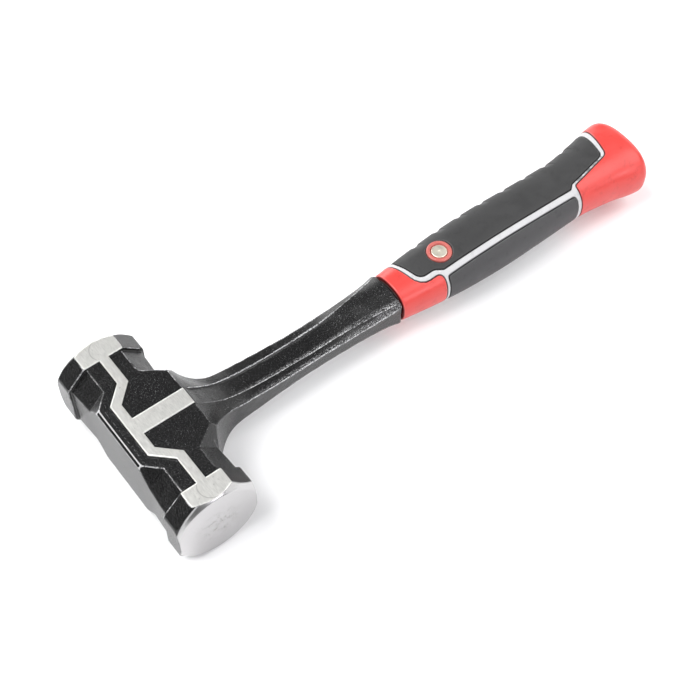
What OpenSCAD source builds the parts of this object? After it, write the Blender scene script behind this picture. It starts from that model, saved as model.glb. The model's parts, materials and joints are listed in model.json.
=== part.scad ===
// One-piece forged lump hammer with a moulded grip, lying on its side.
// Handle along +X, striking axis along Y, +Z up. The origin is the centre of
// the footprint, on the surface that the hammer lies on.
// Inside the modules the hammer is drawn about the centre of its head.

/* [Head] */
// Distance between the two striking faces
head_length = 90; // [84:1:100]
// Width of the octagonal collars, along the handle
collar_width = 35.4; // [34:0.2:37]
// Thickness of the octagonal collars across their ground pads
collar_depth = 37.8; // [37:0.2:40]
// Length of each collar, from its shoulder to the striking face
collar_length = 10.8; // [8:0.2:13]
// Leg of the 45 degree chamfers on the collars
collar_chamfer = 8.6; // [7:0.2:9.6]
// Diameter of each striking face, inside its bevel
face_diameter = 35.2; // [32:0.2:36]
// How far the waist chamfers lie inside the collar chamfers
shoulder_step = 1.4; // [0.8:0.1:2.4]
// Half width of the waist at its narrowest, along the handle
waist_half_width = 15.4; // [14:0.1:16.4]

/* [Ground relief] */
// Height of the ground relief above the painted cheek
relief_height = 0.9; // [0.5:0.1:1.4]
// Width of the narrow bars of the relief
bar_width = 4.5; // [3.5:0.1:5.5]
// Width of the stem that points to the handle
stem_width = 8.7; // [7:0.1:10]

/* [Shank] */
// Width of the shank at its narrowest
shank_width = 17; // [16:0.2:19]
// Thickness of the shank at its thinnest
shank_depth = 7.8; // [7.6:0.2:10]
// Radius of the fillets between the head and the shank
neck_fillet = 18.7; // [15:0.1:20]
// Width of the channel along each side of the shank
channel_width = 9; // [6:0.5:10]
// Depth of the channel
channel_depth = 0.8; // [0.3:0.1:1]
// Width of the shank where it enters the grip
shoulder_width = 20.8; // [20:0.2:21]
// Thickness of the shank where it enters the grip
shoulder_depth = 18; // [16:0.2:19]

/* [Tang and rivet] */
// Width of the tang inside the grip
tang_width = 15; // [12:0.5:16]
// Thickness of the tang
tang_depth = 7; // [5:0.5:8]
// Diameter of the rivet shank
rivet_diameter = 5; // [4:0.5:6]
// Diameter of the rivet heads
rivet_head_diameter = 7.2; // [6.4:0.1:8]
// Outer diameter of the rings around the rivet heads
ring_diameter = 11.4; // [10:0.2:13]

/* [Grip] */
// Where the grip starts, from the centre of the head
grip_start = 118; // [115:0.5:120]
// Where the butt ends, from the centre of the head
butt_end = 256; // [254:0.5:262]
// Grip width at its front end
front_width = 21.4; // [21:0.2:24]
// Grip thickness at its front end
front_depth = 19.2; // [19:0.2:21]
// Grip width at the palm swell
palm_width = 29.9; // [28:0.1:32]
// Grip thickness at the palm swell
palm_depth = 25.6; // [24:0.2:28]
// Grip width at the narrow part ahead of the butt
hold_width = 27.8; // [26:0.2:30]
// Grip thickness at the narrow part ahead of the butt
hold_depth = 23.8; // [23:0.2:26]
// Width of the butt
butt_width = 37.6; // [34:0.2:39]
// Thickness of the butt
butt_depth = 29; // [26:0.2:31]
// Thickness of the coloured mouldings over the rigid core
skin = 2.2; // [1.6:0.1:2.6]
// How far the ridges of the core lie below the coloured mouldings
ridge_drop = 0.15; // [0.05:0.05:0.4]

/* [Hidden] */
$fn = 64;
big = 80;

// Head
face_y = head_length / 2;
shoulder_y = face_y - collar_length;
collar_x = collar_width / 2;
collar_z = collar_depth / 2;
cheek_z = collar_z - relief_height;
collar_sum = collar_x + collar_z - collar_chamfer;
waist_sum = collar_sum - shoulder_step * sqrt(2);
corner_sum = waist_sum + 21.4;
waist_end_x = collar_x - 0.7;

// Shank
cheek_end_x = 17.5;
fillet_end_x = 34;
neck_half = 9.4;
neck_chamfer = 5;
shoulder_chamfer = 4;
thin_x = 50;
flare_x = 88;
channel_start_x = 22;
channel_end_x = 94;
tang_start_x = 108;
tang_end_x = 238;

// Grip
palm_x = 174;
hold_x = 218;
rim_round = 4;
section_power = 2.4;
dual_power = section_power / (section_power - 1);
grip_steps = 16;
rivet_x = 145.3;
notch_count = 8;
notch_pitch = 11;
notch_first_x = 139;
notch_radius = 1.6;
notch_depth = 0.5;

// Rivet seats
crown_z = grip_half(rivet_x, front_depth, palm_depth, hold_depth, butt_depth);
seat_z = crown_z - skin - 0.4;
ring_top_z = crown_z + 0.2;
rivet_top_z = crown_z - 0.1;

module placed() {
    translate([-(butt_end - collar_x) / 2, 0, collar_z]) children();
}

// Draws its children in both halves of the hammer, +Z and -Z.
module both_sides() {
    children();
    mirror([0, 0, 1]) children();
}

// Extrudes an outline in X and Z along the striking axis.
module along_y(length) {
    rotate([90, 0, 0]) linear_extrude(height = length, center = true) children();
}

// ---------------------------------------------------------------- head

// The octagon of the collars and the waist, in X and Z.
function octagon(x, z, sum) = [
    [x, sum - x], [sum - z, z], [z - sum, z], [-x, sum - x],
    [-x, x - sum], [z - sum, -z], [sum - z, -z], [x, x - sum]
];

// Both collars are octagonal bars whose ends are turned to a 45 degree bevel.
module collars() {
    bevel_length = collar_length + 1;
    difference() {
        intersection() {
            along_y(head_length) polygon(octagon(collar_x, collar_z, collar_sum));
            for (side = [-90, 90]) {
                rotate([side, 0, 0])
                    translate([0, 0, face_y - bevel_length])
                        cylinder(h = bevel_length, r1 = face_diameter / 2 + bevel_length,
                                 r2 = face_diameter / 2, $fn = 128);
            }
        }
        cube([big, 2 * shoulder_y, big], center = true);
    }
}

// Plan of the waist: its flanks draw in towards the middle.
module waist_plan() {
    straight_y = 20;
    polygon([
        [waist_end_x, shoulder_y], [waist_half_width, straight_y],
        [waist_half_width, -straight_y], [waist_end_x, -shoulder_y],
        [-waist_end_x, -shoulder_y], [-waist_half_width, -straight_y],
        [-waist_half_width, straight_y], [-waist_end_x, shoulder_y]
    ]);
}

// Solid whose faces cut the triangular facets beside the middle of the waist.
module corner_facets(r) {
    polyhedron(
        points = [[r, 0, 0], [-r, 0, 0], [0, r, 0], [0, -r, 0], [0, 0, r], [0, 0, -r]],
        faces = [[0, 4, 2], [2, 4, 1], [1, 4, 3], [3, 4, 0],
                 [2, 5, 0], [1, 5, 2], [3, 5, 1], [0, 5, 3]]
    );
}

module waist() {
    intersection() {
        linear_extrude(height = 2 * cheek_z, center = true) waist_plan();
        union() {
            along_y(2 * shoulder_y + 1)
                polygon(octagon(waist_end_x + 1, cheek_z + 1, waist_sum));
            corner_facets(corner_sum);
        }
    }
}

// One half of the relief outline, from the stem's end round to the middle of its back.
relief_half = [
    [17.8, 0], [17.8, stem_width / 2], [-5.5, stem_width / 2], [-5.5, 11.7],
    [2.5, 19.5], [2.5, shoulder_y + 1], [2.5 - bar_width, shoulder_y + 1],
    [2.5 - bar_width, 21.3], [-5.5 - bar_width, 13.6], [-5.5 - bar_width, 0]
];

module relief_plan() {
    polygon(relief_half);
    mirror([0, 1]) polygon(relief_half);
}

module relief() {
    both_sides()
        translate([0, 0, cheek_z - 1])
            linear_extrude(height = relief_height + 1) relief_plan();
}

// ---------------------------------------------------------------- shank and tang

// Half width of the neck and shank at x.
function shank_half_width(x) =
    x <= fillet_end_x
        ? neck_half + neck_fillet - sqrt(pow(neck_fillet, 2) - pow(fillet_end_x - x, 2))
    : x <= flare_x
        ? neck_half + (shank_width / 2 - neck_half) * (x - fillet_end_x) / (flare_x - fillet_end_x)
    : shank_width / 2
        + (shoulder_width - shank_width) / 2 * pow((x - flare_x) / (grip_start - flare_x), 2);

// The cheek runs down to the thin part of the shank on one long arc.
sweep_rise = cheek_z - shank_depth / 2;
sweep_run = thin_x - cheek_end_x;
sweep_radius = (pow(sweep_run, 2) + pow(sweep_rise, 2)) / (2 * sweep_rise);

// Half thickness of the neck and shank at x.
function shank_half_depth(x) =
    x <= cheek_end_x ? cheek_z
    : x <= thin_x
        ? shank_depth / 2 + sweep_radius - sqrt(pow(sweep_radius, 2) - pow(thin_x - x, 2))
    : x <= flare_x ? shank_depth / 2
    : shank_depth / 2
        + (shoulder_depth - shank_depth) / 2 * pow((x - flare_x) / (grip_start - flare_x), 1.5);

// Leg of the 45 degree chamfers along the edges of the neck and shank at x.
function shank_chamfer(x) =
    x <= thin_x ? neck_chamfer * pow((thin_x - max(x, cheek_end_x)) / (thin_x - cheek_end_x), 2)
    : x <= flare_x ? 0
    : shoulder_chamfer * (x - flare_x) / (grip_start - flare_x);

plan_x = concat([for (x = [17:1.7:34]) x], [for (x = [40:12:88]) x], [for (x = [91.6:3.7:grip_start]) x],
                [grip_start]);
side_x = concat([0], [for (x = [cheek_end_x:3.25:thin_x]) x], [flare_x],
                [for (x = [91.6:3.7:grip_start]) x], [grip_start]);

// Outline between an edge and its mirror image across the X axis.
module symmetric(edge) {
    polygon(concat(edge, [for (i = [len(edge) - 1:-1:0]) [edge[i][0], -edge[i][1]]]));
}

module shank_plan() {
    symmetric(concat([[0, shank_half_width(17)]], [for (x = plan_x) [x, shank_half_width(x)]]));
}

// Outline of the shank seen along Y, thinned by drop on each side.
module shank_side(drop) {
    symmetric([for (x = side_x) [x, shank_half_depth(x) - drop]]);
}

// Distance from the axis to the chamfers at x.
function shank_slant_reach(x) =
    (shank_half_width(x) + shank_half_depth(x) - shank_chamfer(x)) / sqrt(2);

// Outline of the shank seen along its chamfers.
module shank_slant() {
    symmetric(concat(
        [[0, shank_slant_reach(cheek_end_x)]],
        [for (x = plan_x) if (x > cheek_end_x) [x, shank_slant_reach(x)]]
    ));
}

module tang_bar() {
    translate([tang_start_x, -tang_width / 2, -tang_depth / 2])
        cube([tang_end_x - tang_start_x, tang_width, tang_depth]);
}

// What lies between the slanted outlines on both diagonals.
module for_both_slants() {
    intersection_for (a = [45, 135])
        rotate([a, 0, 0]) linear_extrude(height = big, center = true) children();
}

module shank() {
    difference() {
        intersection() {
            linear_extrude(height = 2 * cheek_z, center = true) shank_plan();
            along_y(big) shank_side(0);
            for_both_slants() shank_slant();
        }
        difference() {
            translate([channel_start_x, -channel_width / 2, -cheek_z - 1])
                cube([channel_end_x - channel_start_x, channel_width, 2 * cheek_z + 2]);
            along_y(big) shank_side(channel_depth);
        }
    }
}

module forging() {
    color("dimgray") placed() difference() {
        union() {
            collars();
            waist();
            relief();
            shank();
            tang_bar();
        }
        translate([rivet_x, 0, 0]) cylinder(h = big, r = rivet_diameter / 2, center = true);
    }
}

// ---------------------------------------------------------------- grip

// Half size of the grip at x, from its sizes at the front, palm, hold and butt.
function grip_half(x, front, palm, hold, butt) =
    x <= palm_x ? front / 2 + (palm - front) / 2 * sin(90 * (x - grip_start) / (palm_x - grip_start))
    : x <= hold_x ? (palm + hold) / 4 + (palm - hold) / 4 * cos(180 * (x - palm_x) / (hold_x - palm_x))
    : hold / 2 + (butt - hold) / 2 * pow(min(1, (x - hold_x) / (butt_end - rim_round - hold_x)), 1.5);

// Distance from the axis to the plane that touches the oval section at angle a.
function grip_reach(x, a) =
    let (w = grip_half(x, front_width, palm_width, hold_width, butt_width),
         d = grip_half(x, front_depth, palm_depth, hold_depth, butt_depth))
    pow(pow(abs(w * cos(a)), dual_power) + pow(abs(d * sin(a)), dual_power), 1 / dual_power);

// Outline of the grip seen square to angle a, shrunk by inset, with a rounded rim.
function grip_edge(a, inset) =
    let (last_x = butt_end - rim_round)
    concat(
        [for (i = [0:grip_steps])
            let (x = grip_start + (last_x - grip_start) * i / grip_steps)
            [x, grip_reach(x, a) - inset]],
        [for (t = [30:30:90])
            [last_x + (rim_round - inset) * sin(t),
             grip_reach(last_x, a) - rim_round + (rim_round - inset) * cos(t)]]
    );

// The oval body of the grip is cut by twelve flats around its axis.
module grip_body(inset) {
    intersection_for (a = [0:30:150]) {
        edge = grip_edge(a, inset);
        rotate([a, 0, 0])
            linear_extrude(height = big, center = true)
                symmetric(edge);
    }
}

// Points of an arc that rounds the corner b, between a and c.
function rounded(a, b, c, r) =
    let (u = (a - b) / norm(a - b),
         v = (c - b) / norm(c - b),
         half = acos(u * v) / 2,
         centre = b + (u + v) / norm(u + v) * r / sin(half),
         from = b + u * r / tan(half) - centre,
         to = b + v * r / tan(half) - centre)
    [for (t = [0:0.25:1])
        let (p = from * (1 - t) + to * t)
        centre + p / norm(p) * r];

// Seams in plan. Each ends outside the grip, so that it cuts right through.
out_y = 30;
seam_half = 0.9;
front_seam_x = 127.5;
front_branch_x = 141;
rear_branch_x = 217;
inner_line_y = -7.7;
outer_line_y = -10.7;

module front_collar_region() {
    x = front_seam_x - seam_half;
    corner = [x, -7.2];
    step = [136.6, -7.9];
    polygon(concat(
        [[100, -out_y], [front_branch_x - seam_half, -out_y], [front_branch_x - seam_half, -9.8]],
        rounded([front_branch_x - seam_half, -9.8], step, corner, 2),
        rounded(step, corner, [x, out_y], 5.5),
        [[x, out_y], [100, out_y]]
    ));
}

module grip_main_region() {
    x = front_seam_x + seam_half;
    front_corner = [x, -5.6];
    front_step = [137.6, -6];
    rear_corner = [238.2, -2.2];
    rear_end = [242.9, 18];
    polygon(concat(
        [[rear_end[0], out_y], [x, out_y]],
        rounded([x, out_y], front_corner, front_step, 3.8),
        [front_step, [141.6, inner_line_y], [214.2, inner_line_y], [216.8, -6.2]],
        rounded([216.8, -6.2], rear_corner, rear_end, 3),
        [rear_end]
    ));
}

module palm_panel_region() {
    front = front_branch_x + seam_half;
    rear = rear_branch_x - seam_half;
    polygon(concat(
        [[front, -out_y]],
        rounded([front, -out_y], [front, outer_line_y], [rear, outer_line_y], 0.8),
        rounded([front, outer_line_y], [rear, outer_line_y], [rear, -out_y], 3),
        [[rear, -out_y]]
    ));
}

module butt_cap_region() {
    branch = rear_branch_x + seam_half;
    corner = [240.2, -3.7];
    rear_end = [244.8, 18];
    polygon(concat(
        [[280, out_y], [rear_end[0], out_y], rear_end],
        rounded(rear_end, corner, [218.4, -8.1], 4.2),
        [[218.4, -8.1], [branch, -9.8], [branch, -out_y], [280, -out_y]]
    ));
}

// The part of the skin over the core that lies inside a region of the plan.
module skin_of() {
    difference() {
        intersection() {
            grip_body(0);
            linear_extrude(height = big, center = true) children();
        }
        grip_body(skin);
    }
}

module rivet_hole(r) {
    translate([rivet_x, 0, 0]) cylinder(h = big, r = r, center = true);
}

module grip_core() {
    color("whitesmoke") placed() difference() {
        union() {
            grip_body(skin);
            difference() {
                grip_body(ridge_drop);
                linear_extrude(height = big, center = true) front_collar_region();
                linear_extrude(height = big, center = true) grip_main_region();
                linear_extrude(height = big, center = true) palm_panel_region();
                linear_extrude(height = big, center = true) butt_cap_region();
            }
        }
        tang_bar();
        rivet_hole(rivet_diameter / 2);
        both_sides()
            translate([rivet_x, 0, seat_z]) cylinder(h = big, r = ring_diameter / 2);
    }
}

module front_collar() {
    color("tomato") placed() skin_of() front_collar_region();
}

module grip_main() {
    color([0.2, 0.2, 0.2]) placed() difference() {
        skin_of() grip_main_region();
        rivet_hole(ring_diameter / 2);
        for (i = [0:notch_count - 1]) {
            x = notch_first_x + i * notch_pitch;
            y = grip_half(x, front_width, palm_width, hold_width, butt_width);
            translate([x, y + notch_radius - notch_depth, 0])
                cylinder(h = big, r = notch_radius, center = true);
        }
    }
}

module palm_panel() {
    color([0.26, 0.25, 0.25]) placed() skin_of() palm_panel_region();
}

module butt_cap() {
    color("tomato") placed() skin_of() butt_cap_region();
}

module rivet() {
    color("antiquewhite") placed() translate([rivet_x, 0, 0]) {
        cylinder(h = 2 * seat_z + 1, r = rivet_diameter / 2, center = true);
        both_sides()
            translate([0, 0, seat_z]) cylinder(h = rivet_top_z - seat_z, r = rivet_head_diameter / 2);
    }
}

module rivet_ring() {
    translate([rivet_x, 0, seat_z])
        difference() {
            cylinder(h = ring_top_z - seat_z, r = ring_diameter / 2);
            translate([0, 0, -1]) cylinder(h = big, r = rivet_head_diameter / 2);
        }
}

module rivet_ring_top() {
    color("red") placed() rivet_ring();
}

module rivet_ring_bottom() {
    color("red") placed() mirror([0, 0, 1]) rivet_ring();
}

forging();
grip_core();
front_collar();
grip_main();
palm_panel();
butt_cap();
rivet();
rivet_ring_top();
rivet_ring_bottom();
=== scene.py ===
"""Looks of the lump hammer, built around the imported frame.

Shapes are fields: a function of x, y and z that is negative inside the piece and close to the
distance from its surface. mesh_of() turns a field into a mesh. Lengths are in millimetres about
the centre of the head until a mesh is made, which puts them in metres in the frame's own axes.
"""
import json
import math

import bmesh
import bpy
import numpy as np
from mathutils import Matrix, Vector


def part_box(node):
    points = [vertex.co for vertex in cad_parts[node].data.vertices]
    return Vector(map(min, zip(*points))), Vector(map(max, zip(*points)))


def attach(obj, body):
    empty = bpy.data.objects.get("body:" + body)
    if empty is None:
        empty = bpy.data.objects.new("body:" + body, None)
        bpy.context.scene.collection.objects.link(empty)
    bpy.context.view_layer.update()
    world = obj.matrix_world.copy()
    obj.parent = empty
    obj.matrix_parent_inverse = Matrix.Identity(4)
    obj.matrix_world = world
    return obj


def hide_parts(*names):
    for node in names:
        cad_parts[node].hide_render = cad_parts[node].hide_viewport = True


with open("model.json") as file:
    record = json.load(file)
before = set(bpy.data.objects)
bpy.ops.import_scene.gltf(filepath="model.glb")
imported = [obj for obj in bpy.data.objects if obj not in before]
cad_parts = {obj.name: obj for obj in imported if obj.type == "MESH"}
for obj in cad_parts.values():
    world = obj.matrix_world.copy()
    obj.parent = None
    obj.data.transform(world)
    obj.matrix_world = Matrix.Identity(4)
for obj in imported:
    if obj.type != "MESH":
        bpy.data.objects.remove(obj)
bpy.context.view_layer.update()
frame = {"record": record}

MM = 0.001
ROOT2 = math.sqrt(2)

# ---------------------------------------------------------------- sizes from the frame


def millimetres(metres):
    return np.array(metres, float) / MM


forging_low, forging_high = (millimetres(corner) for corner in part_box("forging"))
rest_pad = millimetres(frame["record"]["mounts"][0]["pos_m"])
CENTRE = np.array([rest_pad[0], 0, forging_high[2] / 2])


def cad(node):
    """Lowest and highest corner of a CAD node, in millimetres about the centre of the head."""
    return [millimetres(corner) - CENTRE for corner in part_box(node)]


FACE_Y = forging_high[1]
TOP_Z = forging_high[2] / 2
COLLAR_X = CENTRE[0] - forging_low[0]
GRIP_START = cad("front_collar")[0][0]
BUTT_END, BUTT_WIDE, BUTT_DEEP = cad("butt_cap")[1]
RIVET_X = sum(cad("rivet"))[0] / 2
RIVET_HEAD = cad("rivet")[1][1]
RIVET_TOP = cad("rivet")[1][2]
RING_RADIUS = cad("rivet_ring_top")[1][1]
RING_SEAT, RING_TOP = (corner[2] for corner in cad("rivet_ring_top"))
BORE = RIVET_HEAD - 1.1

# ---------------------------------------------------------------- head sizes
# A sum is x + z, or x + y + z, anywhere on a sloping facet. An edge, a fillet or a round is
# a radius.
COLLAR_SUM = 28.0
COLLAR_EDGE = 0.7
SHOULDER_Y = 34.2
SHOULDER_EDGE = 0.4
# Above this height the collar is a flat pad.
PAD_Z = TOP_Z - 0.12
FACE_RADIUS = 17.6
FACE_CROWN = 320
FACE_EDGE = 0.25
BRIGHT_RADIUS = 20.6
BRIGHT_X = 1.6
CHEEK_Z = TOP_Z - 0.9
FINE_EDGE = 0.15
SMALL_ROUND = 0.2
WAIST_SUM = 26.0
WAIST_X = 15.4
WAIST_END_X = 16.4
WAIST_STRAIGHT_Y = 20
WAIST_FILLET = 0.4
BACK_CORNER_SUM = 47.4
BACK_CHAMFER = 1.2
FACET_EDGE = 0.35
CHEEK_EDGE = 0.3
# The neck's corner facet is where i x + j y + k z comes to its reach.
NECK_CORNER = (1, 1.4, 1.03, 57.4)
NECK_CORNER_END_X = 24
FORGED_WAVES = 0.04
# A scratch along the cheek, this far behind the centre, and an arc scribed on each pad.
SCRATCH_X = 12.4
ARC_X = 2.2
ARC_Y = 38.2
ARC_RADIUS = 5.5

# Half outline of the ground relief in plan, from the stem's end round to its back.
RELIEF = [(17.8, -1), (17.8, 4.35), (-5.5, 4.35), (-5.5, 11.7), (2.5, 19.5), (2.5, SHOULDER_Y + 1),
          (-2, SHOULDER_Y + 1), (-2, 21.3), (-10, 13.6), (-10, -1)]
RELIEF_DRAFT = 0.3
RELIEF_GROUND = 0.45

# ---------------------------------------------------------------- shank sizes, lists as (x, size)
NECK_FILLET = 18.7
NECK_FILLET_REACH = 16.8
NECK_FILLET_END_X = 34
NECK_HALF = 9.5
# Half width, then the height of the outer edge, then the height and half width of the lips.
SHANK_HALF = [(34, NECK_HALF), (50, 9.2), (75, 8.75), (90, 9), (100, 9.3), (110, 9.8), (118, 10.6)]
EDGE_Z = [(17.5, 18), (20, 14.4), (22, 11.9), (26, 8.8), (30, 6.9), (35, 5.6), (42, 4.8), (50, 4.1),
          (60, 3.5), (70, 3.2), (90, 3.2), (100, 3.5), (110, 4.2), (118, 5.6)]
LIP_Z = [(17.5, 18), (22, 14.6), (26, 11.4), (30, 8.9), (35, 7), (42, 5.5), (50, 4.5), (60, 3.9),
         (70, 3.7), (80, 3.9), (90, 4.6), (100, 5.5), (110, 6.5), (118, 7.3)]
LIP_Y = [(17.5, 4.4), (40, 4.6), (80, 4.9), (90, 5.4), (100, 6.4), (110, 7.7), (118, 8.9)]
# How far the middle of the shank lies above its lips: a channel first, a crown near the grip.
CROWN = [(18.5, 0), (21, -0.8), (84, -0.8), (97, 0), (108, 1.2), (118, 1.9)]
# The tang's first x, last x, half width and half thickness.
TANG = (108, 238, 7.5, 3.5)
TANG_EDGE = 0.6
END_GAP = 0.5
END_ROUND = 1.6

# ---------------------------------------------------------------- grip sizes, lists as (x, size)
PALM_HALF = [(118, 10.8), (128, 12.2), (140, 13.5), (156, 14.7), (174, 15.1), (196, 14.6),
             (218, 14), (236, 15.8), (252, BUTT_WIDE), (257, BUTT_WIDE)]
FINGER_HALF = [(118, 10.6), (128, 11.6), (140, 12.7), (156, 13.8), (174, 14.2), (196, 13.8),
               (218, 13.7), (236, 16.1), (252, BUTT_WIDE), (257, BUTT_WIDE)]
GRIP_DEEP = [(118, 9.6), (140, 11.6), (156, 12.4), (174, 12.8), (196, 12.4), (218, 11.9), (236, 13),
             (252, BUTT_DEEP), (257, BUTT_DEEP)]
SECTION_POWER = 2.4
RIM_ROUND = 4
END_CROWN = 350
SKIN = 2.2
CORE_GAP = 0.03
RIDGE_DROP = 0.12
RIDGE_EDGE = 0.25
SEAM_GAP = 0.08
EDGE_ROUND = 0.45
FRONT_GAP = 0.15
FRONT_BEVEL = 0.6
FIT = 0.02
OUT_Y = 30
PALM_START_X = 141.6
PALM_END_X = 215.7
INNER_LINE_Y = -7.95
OUTER_LINE_Y = -10.65
RIB_PITCH = 12.7
RIB_FIRST_X = 138.8
RIB_COUNT = 8
RIB_WIDTH = 4.9
RIB_RISE = 1.8
RIB_STEP = 0.6
RIB_DEPTH = 0.5

# ================================================================ field tools


def both(a, b, r):
    """What lies inside both fields, with the edge between them rounded to radius r."""
    return np.minimum(np.maximum(a, b), -r) + np.hypot(np.maximum(a + r, 0), np.maximum(b + r, 0))


def either(a, b, r):
    """What lies inside one field or the other, with the corner between them filled to radius r."""
    return np.maximum(np.minimum(a, b), r) - np.hypot(np.maximum(r - a, 0), np.maximum(r - b, 0))


def ramp(value, start, end):
    """From 0 at start to 1 at end, level outside them."""
    return np.clip((value - start) / (end - start), 0, 1)


def smooth(value, start, end):
    """The same, leaving 0 and reaching 1 gently."""
    t = ramp(value, start, end)
    return t * t * (3 - 2 * t)


def curve(x, stations):
    """Smooth curve through the stations, level at its highs and lows."""
    at, size = np.array(stations, float).T
    kind = x.dtype
    slope = np.diff(size) / np.diff(at)
    before, after = slope[:-1], slope[1:]
    total = np.where(before + after == 0, 1, before + after)
    inner = np.where(before * after > 0, 2 * before * after / total, 0)
    tangent = np.concatenate([slope[:1], inner, slope[-1:]])
    x = np.clip(x, at[0], at[-1])
    i = np.clip(np.searchsorted(at, x, side="right") - 1, 0, len(at) - 2)
    step = at[i + 1] - at[i]
    t = (x - at[i]) / step
    value = (size[i] * (1 + 2 * t) * (1 - t) ** 2 + size[i + 1] * t * t * (3 - 2 * t)
             + step * (tangent[i] * t * (1 - t) ** 2 - tangent[i + 1] * t * t * (1 - t)))
    return value.astype(kind)


def outline_distance(x, y, points):
    """Distance from a closed outline in plan, negative inside it."""
    nearest = 1e9
    winding = 1.0
    for (ax, ay), (bx, by) in zip(points, points[1:] + points[:1]):
        ex, ey = bx - ax, by - ay
        px, py = x - ax, y - ay
        t = np.clip((px * ex + py * ey) / (ex * ex + ey * ey), 0, 1)
        nearest = np.minimum(nearest, (px - ex * t) ** 2 + (py - ey * t) ** 2)
        left = ex * py - ey * px > 0
        crossed = ((y >= ay) & (y < by) & left) | ((y < ay) & (y >= by) & ~left)
        winding = np.where(crossed, -winding, winding)
    return winding * np.sqrt(nearest)


def waves(x, y, z):
    """Gentle unevenness of a hot forged surface, about 1 high."""
    return (np.sin(0.43 * x + 0.31 * y + 1.1) * np.sin(0.37 * y - 0.29 * z + 0.4)
            + 0.6 * np.sin(0.83 * x - 0.71 * z + 2.3) * np.sin(0.67 * y + 0.59 * z))


# ================================================================ mesh tools
CORNERS = np.array([(i, j, k) for i in (0, 1) for j in (0, 1) for k in (0, 1)])
CELL_EDGES = [(a, b) for a in range(8) for b in range(a) if abs(CORNERS[a] - CORNERS[b]).sum() == 1]
PROBE = 0.02
PLANE_PULL = 0.06
LEAST_SLOPE = 0.3
LARGEST_STEP = 0.1
EDGE_PROBE = 0.3


def ruler(*stations):
    """Grid lines through (start, step) stations; the last station only ends the ruler."""
    spans = zip(stations, stations[1:])
    lines = [np.linspace(a, b, max(2, round((b - a) / step) + 1))[:-1] for (a, step), (b, _) in spans]
    return np.append(np.concatenate(lines), stations[-1][0])


def gradient(field, p):
    """The field's direction at each point, and how steeply it rises there."""
    x, y, z = p.T
    g = np.stack([field(x + PROBE, y, z) - field(x - PROBE, y, z),
                  field(x, y + PROBE, z) - field(x, y - PROBE, z),
                  field(x, y, z + PROBE) - field(x, y, z - PROBE)], -1) / (2 * PROBE)
    return g / np.maximum(np.linalg.norm(g, axis=1, keepdims=True), 1e-6), np.linalg.norm(g, axis=1)


def contour(field, rulers):
    """Points and quads of the field's surface, one point in each grid cell that it crosses.
    Each point sits where the planes that touch the surface in its cell meet, so edges stay edges."""
    value = field(*(np.float32(line).reshape([-1 if a == b else 1 for b in range(3)])
                    for a, line in enumerate(rulers)))
    inside = value < 0
    shape = tuple(n - 1 for n in inside.shape)
    count = sum(inside[i:i + shape[0], j:j + shape[1], k:k + shape[2]].astype(np.int8)
                for i, j, k in CORNERS)
    cell = np.argwhere((count > 0) & (count < 8))
    corner = cell[:, None] + CORNERS
    at_corner = value[tuple(np.moveaxis(corner, -1, 0))].astype(float)
    place = np.stack([rulers[a][corner[..., a]] for a in range(3)], -1)
    cells, points = [], []
    for a, b in CELL_EDGES:
        crossed = np.flatnonzero((at_corner[:, a] < 0) != (at_corner[:, b] < 0))
        t = at_corner[crossed, a] / (at_corner[crossed, a] - at_corner[crossed, b])
        cells.append(crossed)
        points.append(place[crossed, a] + t[:, None] * (place[crossed, b] - place[crossed, a]))
    cells, points = np.concatenate(cells), np.concatenate(points)
    normals, steep = gradient(field, points)
    points -= normals * (field(*points.T) / np.maximum(steep, LEAST_SLOPE))[:, None]
    number = np.bincount(cells, minlength=len(cell))[:, None]
    middle = np.stack([np.bincount(cells, points[:, a], len(cell)) for a in range(3)], -1) / number
    pull = np.einsum("ij,ij->i", normals, points - middle[cells])
    matrix = np.zeros((len(cell), 3, 3))
    target = np.zeros((len(cell), 3))
    for a in range(3):
        target[:, a] = np.bincount(cells, normals[:, a] * pull, len(cell))
        for b in range(3):
            matrix[:, a, b] = np.bincount(cells, normals[:, a] * normals[:, b], len(cell))
    matrix += np.eye(3) * PLANE_PULL * number[:, None]
    point = middle + np.linalg.solve(matrix, target[..., None])[..., 0]
    point = np.clip(point, place[:, 0], place[:, 7])
    for _ in range(2):
        normals, steep = gradient(field, point)
        step = field(*point.T) / np.maximum(steep, LEAST_SLOPE)
        point -= normals * np.clip(step, -LARGEST_STEP, LARGEST_STEP)[:, None]
    order = np.full(shape, -1)
    order[tuple(cell.T)] = np.arange(len(cell))
    quads = []
    for axis in range(3):
        change = np.diff(inside.astype(np.int8), axis=axis)
        edge = np.argwhere(change)
        leaving = change[tuple(edge.T)] < 0
        u, v = np.eye(3, dtype=int)[[(axis + 1) % 3, (axis + 2) % 3]]
        ring = np.stack([order[tuple((edge - step).T)] for step in (u + v, v, 0 * u, u)], -1)
        quads.append(np.where(leaving[:, None], ring, ring[:, ::-1]))
    quads = np.concatenate(quads)
    if quads.min() < 0:
        raise ValueError("the field's surface runs out of the grid")
    return point, quads


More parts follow.
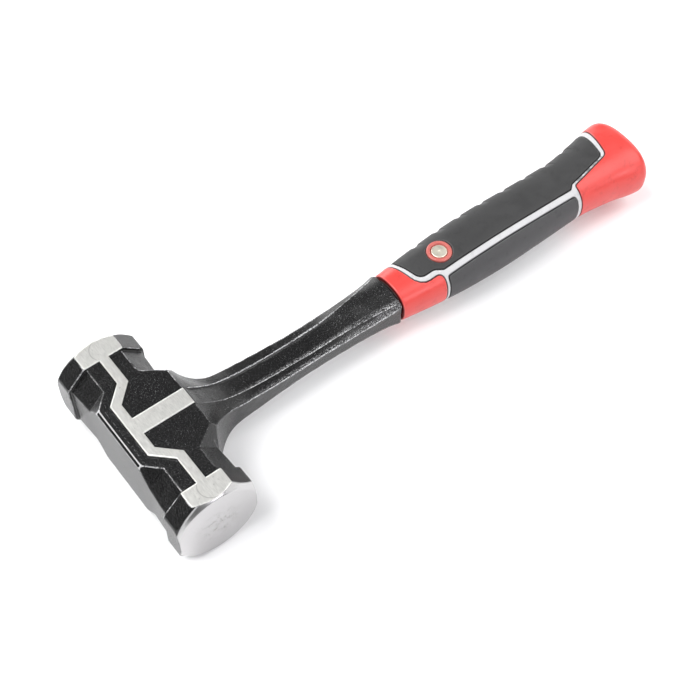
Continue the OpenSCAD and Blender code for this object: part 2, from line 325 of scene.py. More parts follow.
def mesh_of(name, field, rulers, material, slot, **masks):
    """A piece with the shape of the field. Each mask is a function of a point, kept as an attribute.
    The mask "edge" is added: above 0 on outer edges, the higher the sharper they are."""
    point, quads = contour(field, rulers)
    normals, _ = gradient(field, point)
    mesh = bpy.data.meshes.new(name)
    mesh.from_pydata(((point + CENTRE) * MM).tolist(), [], quads.tolist())
    mesh.polygons.foreach_set("use_smooth", [True] * len(mesh.polygons))
    mesh.normals_split_custom_set_from_vertices(normals.tolist())
    x, y, z = point.T
    around = sum(field(x + EDGE_PROBE * i, y + EDGE_PROBE * j, z + EDGE_PROBE * k)
                 for i, j, k in ((1, 0, 0), (-1, 0, 0), (0, 1, 0), (0, -1, 0), (0, 0, 1), (0, 0, -1)))
    masks = {mask: of(x, y, z) for mask, of in masks.items()}
    masks["edge"] = around / EDGE_PROBE ** 2
    for mask, values in masks.items():
        attribute = mesh.attributes.new(mask, "FLOAT", "POINT")
        attribute.data.foreach_set("value", np.float32(np.broadcast_to(values, len(point))))
    finish_piece(name, mesh, material)


def finish_piece(name, mesh, material):
    """Puts the mesh in the scene, in place of the CAD node of the same name."""
    mesh.materials.append(material)
    piece = bpy.data.objects.new(name, mesh)
    bpy.context.scene.collection.objects.link(piece)
    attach(piece, "root")
    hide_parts(name)


# ================================================================ forging


def collar(x, y, z):
    """One octagonal collar and its turned face. Also says how far its ground faces stand out,
    and how far the bevel round the face stands out from the face."""
    across = np.abs(x)
    side = both(across - COLLAR_X, (across + z - COLLAR_SUM) / ROOT2, COLLAR_EDGE)
    painted = both(side, SHOULDER_Y - y, SHOULDER_EDGE)
    cone = (np.hypot(x, z) - FACE_RADIUS - FACE_Y + y) / ROOT2
    face = y - FACE_Y + (x * x + z * z) / (2 * FACE_CROWN)
    ground = both(both(cone, face, FACE_EDGE), z - TOP_Z, FINE_EDGE)
    bright = np.where(z > PAD_Z, 2, BRIGHT_RADIUS - np.hypot(x - BRIGHT_X, z))
    return both(painted, ground, SMALL_ROUND), np.minimum(ground - painted, bright), cone - face


def shank_half(x):
    """Half the width of the neck and shank, which widens into the head on a fillet."""
    inward = np.clip(NECK_FILLET_END_X - x, 0, NECK_FILLET_REACH)
    fillet = NECK_HALF + NECK_FILLET - np.sqrt(NECK_FILLET ** 2 - inward ** 2)
    return np.where(x < NECK_FILLET_END_X, fillet, curve(x, SHANK_HALF))


def top_of(x, y):
    """Height of the cheek, neck and shank at x and y: a rail on each side of a channel or crown."""
    lip_z, lip_y, edge_z = curve(x, LIP_Z), curve(x, LIP_Y), curve(x, EDGE_Z)
    crown = curve(x, CROWN)
    t = np.minimum(y / lip_y, 1)
    channel = 1 - smooth(t, 0.84, 1)
    middle = np.where(crown < 0, crown * channel, crown * (1 - t * t))
    rail = (edge_z - lip_z) * np.maximum(y - lip_y, 0) / (shank_half(x) - lip_y)
    return lip_z + middle + rail


def body(x, y, z):
    """Waist, neck and shank."""
    across = np.abs(x)
    flank = across - WAIST_X - (WAIST_END_X - WAIST_X) * ramp(y, WAIST_STRAIGHT_Y, SHOULDER_Y)
    flank = np.maximum(flank, y - SHOULDER_Y - 1)
    wall = np.maximum(y - shank_half(x), -x)
    chamfer = (across + z - WAIST_SUM) / ROOT2
    back = (across + y + z - BACK_CORNER_SUM) / math.sqrt(3)
    i, j, k, reach = NECK_CORNER
    neck = (np.minimum(x, NECK_CORNER_END_X) * i + y * j + z * k - reach) / math.hypot(i, j, k)
    facets = either(chamfer, np.where(x < 0, back, neck), SMALL_ROUND)
    plan = either(flank, wall, WAIST_FILLET)
    # The height over a slope is more than the distance from it, most where the neck is steep.
    steepness = 1 + 0.35 * ramp(x, 16, 19) * ramp(x, 45, 30)
    top = (z - top_of(x, y)) / steepness
    back_edge = (z - x - CHEEK_Z - WAIST_X + BACK_CHAMFER) / ROOT2
    solid = both(both(plan, facets, FACET_EDGE), top, CHEEK_EDGE)
    solid = both(solid, back_edge, SMALL_ROUND)
    return both(solid, x - GRIP_START + END_GAP, END_ROUND) + FORGED_WAVES * waves(x, y, z)


def relief(x, y, z):
    """The raised band on the cheek. Also says where it is ground: above 0 at its top."""
    height = z - CHEEK_Z
    wall = outline_distance(x, y, RELIEF) + RELIEF_DRAFT * np.maximum(height, -0.5)
    return both(wall, z - TOP_Z, FINE_EDGE), np.minimum(-wall, height - RELIEF_GROUND)


def tang(x, y, z):
    """The flat bar inside the grip, with the rivet's bore through it."""
    start, end, half, deep = TANG
    bar = both(both(y - half, z - deep, TANG_EDGE), np.maximum(start - x, x - end), TANG_EDGE)
    return np.maximum(bar, BORE - np.hypot(x - RIVET_X, y))


def forging(x, y, z):
    """Head, neck, shank and tang, alike on both sides of their two middle planes."""
    y, z = np.abs(y), np.abs(z)
    head = either(body(x, y, z), collar(x, y, z)[0], WAIST_FILLET)
    return np.minimum(np.minimum(head, relief(x, y, z)[0]), tang(x, y, z))


def ground(x, y, z):
    """Above 0 where the forging is ground bright, below 0 where it is painted."""
    y, z = np.abs(y), np.abs(z)
    return np.clip(np.maximum(collar(x, y, z)[1], relief(x, y, z)[1]), -2, 2)


def bevel(x, y, z):
    """Above 0 on the coarser, duller half of the sloping ring round each striking face."""
    y, z = np.abs(y), np.abs(z)
    off_ring = (y < SHOULDER_Y) | (z > PAD_Z)
    return np.where(off_ring, -1, np.clip(collar(x, y, z)[2], -1, 1) * ramp(x, 4, -4))


def turned(x, y, z):
    """Above 0 past the shoulders, where bare steel is turned, but below 0 on the pads there."""
    return np.clip(TOP_Z - 0.1 - np.abs(z), -1, 1) * (np.abs(y) > SHOULDER_Y)


def rails(x, y, z):
    """Painted glints: up to 1 along two bands of the shank's palm side, inside the lip and the outer
    edge, and next to nothing on its finger side."""
    glints = np.where(y < 0, 1, 0.05)
    y, z = np.abs(y), np.abs(z)
    inside_lip = curve(x, LIP_Y) - 0.9 - y
    inside_edge = shank_half(x) - 0.8 - y
    nearest = np.minimum(np.abs(inside_lip), np.abs(inside_edge))
    return glints * ramp(nearest, 1.1, 0.5) * smooth(x, 28, 60) * (z > curve(x, EDGE_Z) - 0.8)


def worn(x, y, z):
    """1 where edges are painted pale, partly as wear of the paint and partly as painted highlight;
    0 beside the grip and the faces, and little on the palm side of the neck."""
    near_face = ramp(np.abs(y), 41.2, 40.4)
    neck = np.where(y < 0, ramp(x, 5, 7) * ramp(x, 34, 27), 0)
    return near_face * ramp(x, GRIP_START - 2.2, GRIP_START - 3.5) * (1 - 0.8 * neck)


# ================================================================ grip


def grip(x, y, z):
    """The whole grip as one smooth oval body."""
    wide = np.where(y < 0, curve(x, PALM_HALF), curve(x, FINGER_HALF))
    deep = curve(x, GRIP_DEEP)
    power = SECTION_POWER
    share = (np.abs(y / wide) ** power + np.abs(z / deep) ** power + 1e-9) ** (1 / power)
    radius = np.hypot(y, z)
    side = radius - radius / share
    end = x - BUTT_END + (y * y + z * z) / (2 * END_CROWN)
    return both(side, end, RIM_ROUND)


def rounded(*corners):
    """Outline through (x, y, radius) corners, each turned on an arc of its radius."""
    outline = []
    for i, (x, y, r) in enumerate(corners):
        b = np.array([x, y], float)
        u, v = (np.array(corners[j][:2]) - b for j in (i - 1, (i + 1) % len(corners)))
        u, v = u / np.linalg.norm(u), v / np.linalg.norm(v)
        half = math.acos(np.clip(u @ v, -1, 1)) / 2
        centre = b + (u + v) / max(np.linalg.norm(u + v), 1e-6) * r / math.sin(half)
        ends = [b + w * r / math.tan(half) - centre for w in (u, v)]
        for t in np.linspace(0, 1, 5 if r > 0.5 else 2):
            p = ends[0] * (1 - t) + ends[1] * t
            outline.append(tuple(centre + p / np.linalg.norm(p) * r))
    return outline


# Outlines of the four mouldings in plan.


def region_front():
    return rounded((100, -OUT_Y, 0.1), (140, -OUT_Y, 0.1), (140, -8.3, 2.8), (128.4, -8.2, 6.5),
                   (124.6, 9.7, 9), (123.9, OUT_Y, 0.1), (100, OUT_Y, 0.1))


def region_main():
    return rounded((127.8, OUT_Y, 0.1), (127.2, 6, 8), (130.2, -5.75, 4), (137.6, -5.85, 3.5),
                   (141.5, INNER_LINE_Y, 1.8), (215.1, INNER_LINE_Y + 0.1, 0.8), (217.2, -6.1, 1.2),
                   (238.4, -2.4, 2.8), (241.5, 13, 5), (241.8, OUT_Y, 0.1))


def region_palm():
    return rounded((PALM_START_X, -OUT_Y, 0.1), (PALM_END_X, -OUT_Y, 0.1),
                   (PALM_END_X, OUTER_LINE_Y, 1.8), (PALM_START_X, OUTER_LINE_Y, 0.9))


def region_butt():
    return rounded((280, OUT_Y, 0.1), (245.3, OUT_Y, 0.1), (245, 15, 5), (240.1, -3.2, 3),
                   (218, -7.2, 1.1), (218, -OUT_Y, 0.1), (280, -OUT_Y, 0.1))


def ribs(x, y, z):
    """Depth of the shallow grooves across the finger side. Each starts gently and ends in a step."""
    along = (x - RIB_FIRST_X) % RIB_PITCH
    groove = ramp(along, 0, RIB_RISE) * ramp(along, RIB_WIDTH, RIB_WIDTH - RIB_STEP)
    covered = (x > RIB_FIRST_X) & (x < RIB_FIRST_X + RIB_PITCH * RIB_COUNT)
    facing = smooth(y / np.maximum(np.hypot(y, z), 1e-6), 0.55, 0.82)
    return RIB_DEPTH * facing * groove * covered


REGIONS = {"front_collar": region_front(), "grip_main": region_main(),
           "palm_panel": region_palm(), "butt_cap": region_butt()}


def moulding(name):
    """Field of one coloured moulding: the part of the skin inside its outline."""
    region = REGIONS[name]

    def field(x, y, z):
        outer = grip(x, y, z)
        wall = outline_distance(x, y, region) + SEAM_GAP
        shown = outer
        if name == "grip_main":
            shown = outer + ribs(x, y, z)
            wall = np.maximum(wall, RING_RADIUS + SEAM_GAP - np.hypot(x - RIVET_X, y))
        shell = both(both(shown, wall, EDGE_ROUND), GRIP_START + FRONT_GAP - x, FINE_EDGE)
        shell = both(shell, (shown + GRIP_START + FRONT_BEVEL - x) / ROOT2, FINE_EDGE)
        return np.maximum(shell, -outer - SKIN)

    return field


def rim(name):
    """Mask of how far a point of a moulding lies inside its outline, up to 3 mm; the painted shade
    at each seam comes from it.
    """
    region = REGIONS[name]

    def inside(x, y, z):
        within = -outline_distance(x, y, region) - SEAM_GAP
        return np.clip(np.minimum(within, x - GRIP_START), 0, 3)

    return inside


def between_mouldings(x, y):
    """Negative in the gaps between the mouldings' outlines, where the core shows as piping."""
    between = -np.inf
    for region in REGIONS.values():
        between = np.maximum(between, -outline_distance(x, y, region) + SEAM_GAP)
    return between


def core_rim(x, y, z):
    """The same mask for the core: how far a point lies outside the gaps between the mouldings,
    which sets the painted shade along the piping.
    """
    return np.clip(0.15 - between_mouldings(x, y), 0, 3)


def core(x, y, z):
    """What the mouldings leave of the grip, round the tang, the rivet's bore and its rings' seats."""
    outer = grip(x, y, z)
    ridge = both(outer + RIDGE_DROP, between_mouldings(x, y), RIDGE_EDGE)
    solid = np.minimum(outer + SKIN + CORE_GAP, ridge)
    height = np.abs(z)
    _, end, half, deep = TANG
    tang_space = np.maximum(np.maximum(np.abs(y) - half, height - deep), x - end)
    from_rivet = np.hypot(x - RIVET_X, y)
    seat = np.maximum(from_rivet - RING_RADIUS - FIT, RING_SEAT - FIT - height)
    removed = np.minimum(np.minimum(tang_space, from_rivet - BORE), seat)
    return np.maximum(np.maximum(solid, -removed - FIT), GRIP_START + FRONT_GAP - x)


# ================================================================ rivet
TURN_STEPS = 72


def lathe(name, profile, material, flip=1, closed=True):
    """A solid turned about the rivet's axis from a profile of (radius, height) points.
    A flip of -1 turns it upside down. A profile that isn't closed starts and ends on the axis."""
    points, faces = [], []
    for i in range(TURN_STEPS):
        a = 2 * math.pi * i / TURN_STEPS
        points += [(RIVET_X + r * math.cos(a), r * math.sin(a), flip * h) for r, h in profile]
    n = len(profile)
    for i in range(TURN_STEPS):
        here, there = i * n, (i + 1) % TURN_STEPS * n
        for j in range(n if closed else n - 1):
            k = (j + 1) % n
            face = (here + j, here + k, there + k, there + j)
            faces.append(face[::flip])
    mesh = bpy.data.meshes.new(name)
    mesh.from_pydata(((np.array(points) + CENTRE) * MM).tolist(), [], faces)
    tidy = bmesh.new()
    tidy.from_mesh(mesh)
    bmesh.ops.remove_doubles(tidy, verts=tidy.verts, dist=1e-7)
    bmesh.ops.recalc_face_normals(tidy, faces=tidy.faces)
    tidy.to_mesh(mesh)
    tidy.free()
    mesh.polygons.foreach_set("use_smooth", [True] * len(mesh.polygons))
    mesh.set_sharp_from_angle(angle=math.radians(50))
    finish_piece(name, mesh, material)


def arc(centre_r, centre_h, radius, start, end, steps):
    """Points of a profile on an arc between two angles in degrees."""
    angles = np.radians(np.linspace(start, end, steps + 1))
    return [(centre_r + radius * math.cos(a), centre_h + radius * math.sin(a)) for a in angles]


# ================================================================ materials


class Finish:
    """A node material. Its textures are placed in millimetres about the centre of the head."""

    def __init__(self, name, **constants):
        self.material = bpy.data.materials.new(name)
        self.material.use_nodes = True
        self.tree = self.material.node_tree
        self.shader = self.tree.nodes["Principled BSDF"]
        for socket, value in constants.items():
            self.shader.inputs[socket.replace("_", " ")].default_value = value
        place = self.add("ShaderNodeMapping", Vector=self.add("ShaderNodeTexCoord").outputs["Object"])
        place.inputs["Scale"].default_value = [1 / MM] * 3
        place.inputs["Location"].default_value = -CENTRE
        self.place = place.outputs[0]

    def add(self, kind, **links):
        node = self.tree.nodes.new(kind)
        for socket, value in links.items():
            self.feed(node.inputs[socket.replace("_", " ")], value)
        return node

    def feed(self, socket, value):
        if isinstance(value, bpy.types.NodeSocket):
            self.tree.links.new(value, socket)
        else:
            socket.default_value = value

    def set(self, **links):
        for socket, value in links.items():
            self.feed(self.shader.inputs[socket.replace("_", " ")], value)

    def mask(self, name):
        node = self.add("ShaderNodeAttribute")
        node.attribute_name = name
        return node.outputs["Fac"]

    def up(self):
        """How much the surface faces up, from -1 to 1."""
        normal = self.add("ShaderNodeNewGeometry").outputs["Normal"]
        return self.add("ShaderNodeSeparateXYZ", Vector=normal).outputs["Z"]

    def stretched(self, *scale):
        node = self.add("ShaderNodeMapping", Vector=self.place)
        node.inputs["Scale"].default_value = scale
        return node.outputs[0]

    def axes(self):
        node = self.add("ShaderNodeSeparateXYZ", Vector=self.place)
        return [node.outputs[axis] for axis in "XYZ"]

    def noise(self, scale, detail=2, roughness=0.5, place=None, distortion=0):
        """Noise from 0 to 1, with about scale waves to a millimetre."""
        node = self.add("ShaderNodeTexNoise", Vector=place or self.place, Scale=scale, Detail=detail,
                        Roughness=roughness, Distortion=distortion)
        return node.outputs["Fac"]

    def math(self, operation, a, b=0.0, c=0.0):
        node = self.add("ShaderNodeMath")
        node.operation = operation
        for socket, value in zip(node.inputs, (a, b, c)):
            self.feed(socket, value)
        return node.outputs[0]

    def product(self, first, *others):
        for other in others:
            first = self.math("MULTIPLY", first, other)
        return first

    def largest(self, first, *others):
        for other in others:
            first = self.math("MAXIMUM", first, other)
        return first

    def size(self, value):
        """A number without its sign."""
        return self.math("ABSOLUTE", value)

    def length(self, a, b):
        """How far (a, b) is from (0, 0)."""
        return self.math("SQRT", self.math("MULTIPLY_ADD", a, a, self.math("MULTIPLY", b, b)))

    def span(self, value, low, high, to_low=0.0, to_high=1.0):
        """Carries low..high over to to_low..to_high, level outside them."""
        node = self.add("ShaderNodeMapRange", Value=value)
        bounds = {"From Min": low, "From Max": high, "To Min": to_low, "To Max": to_high}
        for socket, bound in bounds.items():
            node.inputs[socket].default_value = bound
        return node.outputs[0]

    def mix(self, share, a, b):
        """A colour between a and b."""
        node = self.add("ShaderNodeMix")
        node.data_type = "RGBA"
        self.feed(node.inputs[0], share)
        for socket, value in ((node.inputs[6], a), (node.inputs[7], b)):
            self.feed(socket, value if isinstance(value, bpy.types.NodeSocket) else (*value, 1))
        return node.outputs[2]

    def blend(self, share, a, b):
        """A number between a and b."""
        node = self.add("ShaderNodeMix")
        for index, value in ((0, share), (2, a), (3, b)):
            self.feed(node.inputs[index], value)
        return node.outputs[0]

    def bump(self, height, depth, strength):
        """Relief from a height of 0 to 1 that stands for depth millimetres."""
        node = self.add("ShaderNodeBump", Height=height)
        node.inputs["Strength"].default_value = strength
        node.inputs["Distance"].default_value = depth * MM
        return node.outputs[0]


def black_paint(f, x, y, z):
    """Mottled black, with painted sparkle and a scratch on upward faces, edges painted pale partly as
    wear and partly as painted highlight, and painted glints in two bands along the shank's palm side.
    """
    # Painted sparkle: pale specks on upward faces, more of them towards the grip, in place of glints of
    # light on the textured paint.
    patches = f.span(f.noise(0.09, 2), 0.35, 0.7, 0.0, -0.03)
    towards_grip = f.span(x, 30, 115, 0.0, -0.032)
    few = f.math("ADD", f.math("ADD", patches, towards_grip), 0.7)
    sparkle = f.span(f.math("SUBTRACT", f.noise(2.7, 2, 0.8), few), 0, 0.03)
    along_y = f.span(f.size(f.math("ADD", x, SCRATCH_X)), 0.2, 0.05, 0.0, 0.4)
    broken = f.span(f.noise(0.8, 2, 0.8, f.stretched(0.1, 1, 1)), 0.52, 0.6)
    scratch = f.product(along_y, broken, f.span(f.size(y), 17, 15))
    facing_up = f.span(f.up(), 0.55, 0.8)
    sparkle_and_scratch = f.product(f.largest(sparkle, scratch), facing_up, 0.5)

    # Edges painted pale: partly paint wear, partly painted highlight, strongest along the cheek's edge
    # over the flank.
    front_edge_highlight = f.product(f.span(x, -13.5, -14.0), f.span(f.size(z), 16.2, 17.0))
    dots = f.span(f.noise(2.4, 2, 0.8), 0.46, 0.56)
    dots = f.largest(dots, f.product(front_edge_highlight, 0.7))
    breaks = f.span(f.noise(0.3, 1), 0.44, 0.52, 0.12, 1.0)
    breaks = f.largest(breaks, front_edge_highlight, f.span(x, 20, 24))
    sharp = f.span(f.math("ADD", f.mask("edge"), f.span(x, 85, 110, 0.0, 0.5)), 1.1, 2.0)
    worn_edges = f.product(sharp, f.mask("worn"), dots, breaks)
    # Painted glints along the shank's palm side, in place of light caught by its textured paint.
    glints = f.span(f.noise(2.8, 2, 0.8, f.stretched(0.4, 1.5, 1.5)), 0.53, 0.61)
    glints = f.product(f.mask("rails"), glints, 0.55)

    flecks = f.span(f.noise(1.9, 3, 0.8), 0.45, 0.64)
    paint = f.mix(flecks, (0.0015, 0.0015, 0.0017), (0.021, 0.021, 0.0208))
    # The pale colour is painted sparkle, painted glints and highlights, and bare steel where the paint
    # has gone.
    return f.mix(f.largest(sparkle_and_scratch, worn_edges, glints), paint, (0.66, 0.66, 0.67))


def bare_steel(f, x, y, z, on_bevel):
    """Steel ground along the striking axis on top and turned on the faces, with scuffs, small pits
    and a scribed arc on each pad. Gives its colour, its roughness and the height of its marks."""
    face = f.span(f.mask("turned"), 0.0, 0.2)
    radius = f.length(x, z)
    across_rings = f.add("ShaderNodeCombineXYZ", X=f.product(radius, 5.0)).outputs[0]
    rings = f.noise(1.0, 2, 0.7, across_rings)
    lines = f.noise(1.0, 4, 0.75, f.stretched(2.4, 0.3, 1.0))
    marks = f.blend(face, lines, rings)
    pits = f.span(f.noise(1.1, 3, 0.75), 0.66, 0.7)
    flecked = f.span(f.noise(2.3, 2, 0.7), 0.51, 0.58)
    clusters = f.span(f.noise(0.35, 3, 0.6), 0.42, 0.54)
    scuffs = f.product(flecked, clusters, f.span(radius, 13, 5), face)

    arc_x = f.math("SUBTRACT", x, ARC_X)
    arc_y = f.math("SUBTRACT", f.size(y), ARC_Y)
    off_arc = f.size(f.math("SUBTRACT", f.length(arc_x, arc_y), ARC_RADIUS))
    scribed_part = f.span(f.math("SUBTRACT", arc_y, arc_x), 0, 2)
    off_face = f.math("SUBTRACT", 1.0, face)
    scribed = f.product(f.span(off_arc, 0.25, 0.1, 0.0, 0.5), scribed_part, off_face)

    colour = f.mix(f.span(marks, 0.3, 0.7), (0.54, 0.537, 0.515), (0.74, 0.735, 0.705))
    colour = f.mix(face, colour, (0.48, 0.472, 0.475))
    colour = f.mix(on_bevel, colour, (0.5, 0.497, 0.495))
    dull = f.largest(pits, scribed, f.product(scuffs, 0.9))
    colour = f.mix(dull, colour, (0.3, 0.29, 0.285))
    ground_top = f.span(marks, 0.3, 0.7, 0.4, 0.5)
    roughness = f.blend(face, ground_top, f.span(scuffs, 0.0, 1.0, 0.13, 0.3))
    return colour, f.blend(on_bevel, roughness, 0.34), f.product(marks, 0.12)


def forged_steel():
    """Glossy black paint over the forging, ground off where the masks say, with a pale burr along
    the edge of the paint at the faces."""
    f = Finish("forged_steel", IOR=1.45)
    x, y, z = f.axes()
    ragged = f.math("MULTIPLY_ADD", f.noise(2.2, 3), 0.16, -0.08)
    inside_paint = f.math("ADD", f.mask("ground"), ragged)
    bright = f.span(inside_paint, -0.03, 0.03)
    on_bevel = f.span(f.mask("bevel"), -0.05, 0.1)
    burr = f.product(f.span(f.size(inside_paint), 0.3, 0.1), on_bevel)

    pebble = f.noise(1.3, 3, 0.6)
    grain = f.noise(4.5, 2, 0.6)
    paint_height = f.math("MULTIPLY_ADD", grain, 0.35, pebble)
    paint_roughness = f.span(grain, 0.3, 0.7, 0.12, 0.26)
    steel_colour, steel_roughness, steel_height = bare_steel(f, x, y, z, on_bevel)
    colour = f.mix(bright, black_paint(f, x, y, z), steel_colour)
    f.set(Base_Color=f.mix(burr, colour, (0.45, 0.45, 0.45)),
          Metallic=f.math("SUBTRACT", bright, burr),
          Roughness=f.blend(bright, paint_roughness, steel_roughness),
          Normal=f.bump(f.blend(bright, paint_height, steel_height), 0.22, 0.55))
    return f.material


def tone(colour, factor, lift=0.0):
    """The colour made darker or paler."""
    return [min(1, part * factor + lift) for part in colour]


def moulded(name, colour, darker, roughness, grain_depth, seam_light_and_shade=True, **constants):
    """Injection moulded plastic or rubber: fine grain, soft mottling, smudges, and along each seam
    a painted highlight on the edges over painted shade in the gap."""
    f = Finish(name, **constants)
    smudge = f.noise(0.09, 3, 0.6, distortion=0.6)
    spots = f.span(f.noise(0.22, 4, 0.7), 0.54, 0.72)
    grain = f.noise(4.0, 2, 0.6)
    dust = f.span(f.noise(1.9, 2, 0.8), 0.74, 0.8)
    base = f.mix(f.span(smudge, 0.35, 0.65), darker, colour)
    base = f.mix(f.product(spots, 0.6), base, tone(darker, 0.7))
    base = f.mix(f.product(dust, 0.2), base, tone(colour, 1.6, 0.05))
    if seam_light_and_shade:
        # Painted highlight: convex edges made paler.
        base = f.mix(f.span(f.mask("edge"), 0.7, 1.6, 0.0, 0.25), base, tone(colour, 1.2, 0.1))
        # Painted shade: the mouldings darken towards each seam and towards the gap at the collar's front.
        base = f.mix(f.span(f.mask("rim"), 0.5, 0.2, 0.0, 0.9), base, tone(darker, 0.12))
    mottled = f.math("MULTIPLY_ADD", grain, 0.4, smudge)
    f.set(Base_Color=base, Roughness=f.span(mottled, 0.5, 0.9, *roughness),
          Normal=f.bump(grain, grain_depth, 0.5))
    return f.material


# ================================================================ the pieces
steel = forged_steel()
red = moulded("red_moulding", (0.68, 0.058, 0.05), (0.64, 0.05, 0.042), (0.28, 0.4), 0.015)
white = moulded("white_core", (0.55, 0.547, 0.555), (0.51, 0.507, 0.52), (0.4, 0.5), 0.02)
rubber = moulded("black_rubber", (0.037, 0.037, 0.0375), (0.028, 0.028, 0.0285), (0.5, 0.7), 0.03,
                 IOR=1.45)
palm = moulded("palm_rubber", (0.06, 0.059, 0.061), (0.05, 0.049, 0.052), (0.5, 0.65), 0.03,
               IOR=1.45)
ring_red = moulded("ring_red", (0.54, 0.14, 0.12), (0.5, 0.12, 0.105), (0.26, 0.36), 0.01,
                   seam_light_and_shade=False)
rivet_steel = moulded("rivet_steel", (0.95, 0.89, 0.76), (0.88, 0.83, 0.7), (0.36, 0.5), 0.05,
                      seam_light_and_shade=False, Metallic=1.0)

# Grid steps. The lines start off the flat faces' own planes, so no face falls on a grid line.
FINE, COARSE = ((0.5, 0.7))
SPARSE = 2.2
GRIP_STEP = 0.6
head_x = ruler((-COLLAR_X - 0.9, FINE), (22.3, COARSE), (GRIP_START + 1, SPARSE),
               (RIVET_X - 4, COARSE), (RIVET_X + 4, SPARSE), (TANG[1] - 1.5, 0.5), (TANG[1] + 1.2, 1))
head_y = ruler((-FACE_Y - 0.7, FINE), (FACE_Y + 0.71, 1))
head_z = ruler((-TOP_Z - 0.53, FINE * 0.6), (-CHEEK_Z + 0.57, FINE),
               (CHEEK_Z - 0.51, FINE * 0.6), (TOP_Z + 0.61, 1))
mesh_of("forging", forging, (head_x, head_y, head_z), steel, "forged_steel",
        ground=ground, bevel=bevel, rails=rails, worn=worn, turned=turned)


def grip_rulers(low_x, high_x):
    return (ruler((low_x - 1.03, GRIP_STEP), (high_x + 1.07, 1)),
            ruler((-BUTT_WIDE - 1.01, GRIP_STEP), (BUTT_WIDE + 1.13, 1)),
            ruler((-BUTT_DEEP - 1.09, GRIP_STEP), (BUTT_DEEP + 1.17, 1)))


for name, material, slot in (("front_collar", red, "red_moulding"), ("grip_main", rubber, "black_rubber"),
                             ("palm_panel", palm, "palm_rubber"), ("butt_cap", red, "red_moulding")):
    outline_x = [x for x, _ in REGIONS[name]]
    low, high = max(min(outline_x), GRIP_START), min(max(outline_x), BUTT_END)
    mesh_of(name, moulding(name), grip_rulers(low, high), material, slot, rim=rim(name))
mesh_of("grip_core", core, grip_rulers(GRIP_START, BUTT_END - SKIN), white, "white_core",
        rim=core_rim)

# The rivet: a shank with a flat head at each end, round at the edge and dimpled in the middle.
edge = RIVET_HEAD - 0.1
dimple = [(0, -0.12), (0.3, -0.1), (0.45, -0.01), (0.55, 0)]
half_rivet = ([(r, RIVET_TOP + h) for r, h in dimple] + [(edge - 1, RIVET_TOP)]
              + arc(edge - 0.35, RIVET_TOP - 0.37, 0.35, 90, 0, 5)
              + [(edge, RING_SEAT), (BORE - FIT, RING_SEAT)])
other_half = [(r, -h) for r, h in reversed(half_rivet)]
lathe("rivet", half_rivet + other_half, rivet_steel, closed=False)

# The rings: a round shoulder outside, and a slope inside that runs down to the rivet's head.
outer = RING_RADIUS - 0.06
inner = RIVET_HEAD + 0.05
ring_profile = ([(outer, RING_SEAT)] + arc(outer - 0.7, RING_TOP - 0.7, 0.7, 0, 90, 7)
                + arc(inner + 0.7, RING_TOP - 0.3, 0.3, 90, 150, 4)
                + [(inner, RIVET_TOP - 0.5), (inner, RING_SEAT)])
for name, flip in (("rivet_ring_top", 1), ("rivet_ring_bottom", -1)):
    lathe(name, ring_profile, ring_red, flip=flip)

# ================================================================ stage, light and camera


FLOOR_REACH = 12.0


def floor():
    corners = [(x * FLOOR_REACH, y * FLOOR_REACH, 0) for x, y in ((-1, -1), (1, -1), (1, 1), (-1, 1))]
    mesh = bpy.data.meshes.new("floor")
    mesh.from_pydata(corners, [], [(0, 1, 2, 3)])
    sheet = bpy.data.objects.new("floor", mesh)
    bpy.context.scene.collection.objects.link(sheet)
    f = Finish("floor", Roughness=0.9)
    f.shader.inputs["Specular IOR Level"].default_value = 0.0
    f.set(Base_Color=f.mix(f.noise(0.01, 2), (0.96, 0.96, 0.965), (0.98, 0.98, 0.985)))
    mesh.materials.append(f.material)


def area_light(name, place, aim, size, power, colour=(1, 1, 1)):
    lamp = bpy.data.lights.new(name, "AREA")
    lamp.shape = "RECTANGLE"
    lamp.size, lamp.size_y = size
    lamp.energy = power
    lamp.color = colour
    light = bpy.data.objects.new(name, lamp)
    light.location = place
    light.rotation_euler = (Vector(aim) - Vector(place)).to_track_quat("-Z", "Y").to_euler()
    bpy.context.scene.collection.objects.link(light)


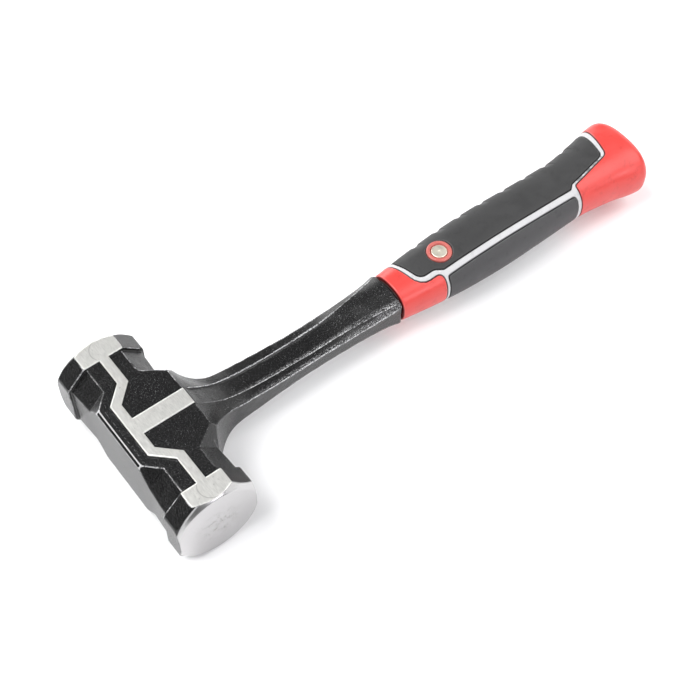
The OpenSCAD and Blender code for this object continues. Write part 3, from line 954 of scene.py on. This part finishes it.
def camera(place, aim, roll, lens):
    lens_data = bpy.data.cameras.new("camera")
    lens_data.lens = lens
    lens_data.clip_start = 0.01
    eye = bpy.data.objects.new("camera", lens_data)
    towards = (Vector(aim) - Vector(place)).to_track_quat("-Z", "Y").to_matrix()
    turn = towards @ Matrix.Rotation(roll, 3, "Z")
    eye.matrix_world = Matrix.Translation(place) @ turn.to_4x4()
    bpy.context.scene.collection.objects.link(eye)
    bpy.context.scene.camera = eye


def studio(level, horizon):
    """Soft light from all around that is dim near the horizon, so that rounded edges read."""
    world = bpy.data.worlds.new("studio")
    world.use_nodes = True
    tree = world.node_tree
    direction = tree.nodes.new("ShaderNodeSeparateXYZ")
    tree.links.new(tree.nodes.new("ShaderNodeTexCoord").outputs["Generated"], direction.inputs[0])
    rise = tree.nodes.new("ShaderNodeMapRange")
    tree.links.new(direction.outputs["Z"], rise.inputs["Value"])
    span = {"From Min": 0.26, "From Max": 1.0, "To Min": horizon, "To Max": level}
    for socket, value in span.items():
        rise.inputs[socket].default_value = value
    sky = tree.nodes["Background"]
    sky.inputs["Color"].default_value = (0.97, 0.98, 1.0, 1)
    tree.links.new(rise.outputs[0], sky.inputs["Strength"])
    bpy.context.scene.world = world


floor()
studio(0.4, 0.06)
bpy.context.scene.view_settings.view_transform = "Standard"
area_light("key", (-0.8, 0.3, 1.3), (0, 0, 0), (1.0, 1.0), 24)
area_light("back", (-0.1, 1.3, 0.45), (0, 0, 0.02), (1.6, 0.6), 13)
area_light("front", (0.25, -1.15, 0.62), (-0.05, 0, 0), (0.4, 0.4), 3.5, (0.97, 0.95, 1.0))
area_light("side", (1.3, 0.5, 0.45), (0.05, 0, 0), (1.2, 0.8), 5)
area_light("low", (0.85, -0.85, 0.3), (0, -0.04, 0.02), (0.8, 0.6), 2)
area_light("fill", (0.7, -0.5, 1.15), (0.03, -0.02, 0), (1.0, 1.0), 10)
camera((-0.2263, -0.2544, 0.4791), (-0.03055, -0.01135, 0.0189), math.radians(1.5), 68.7)
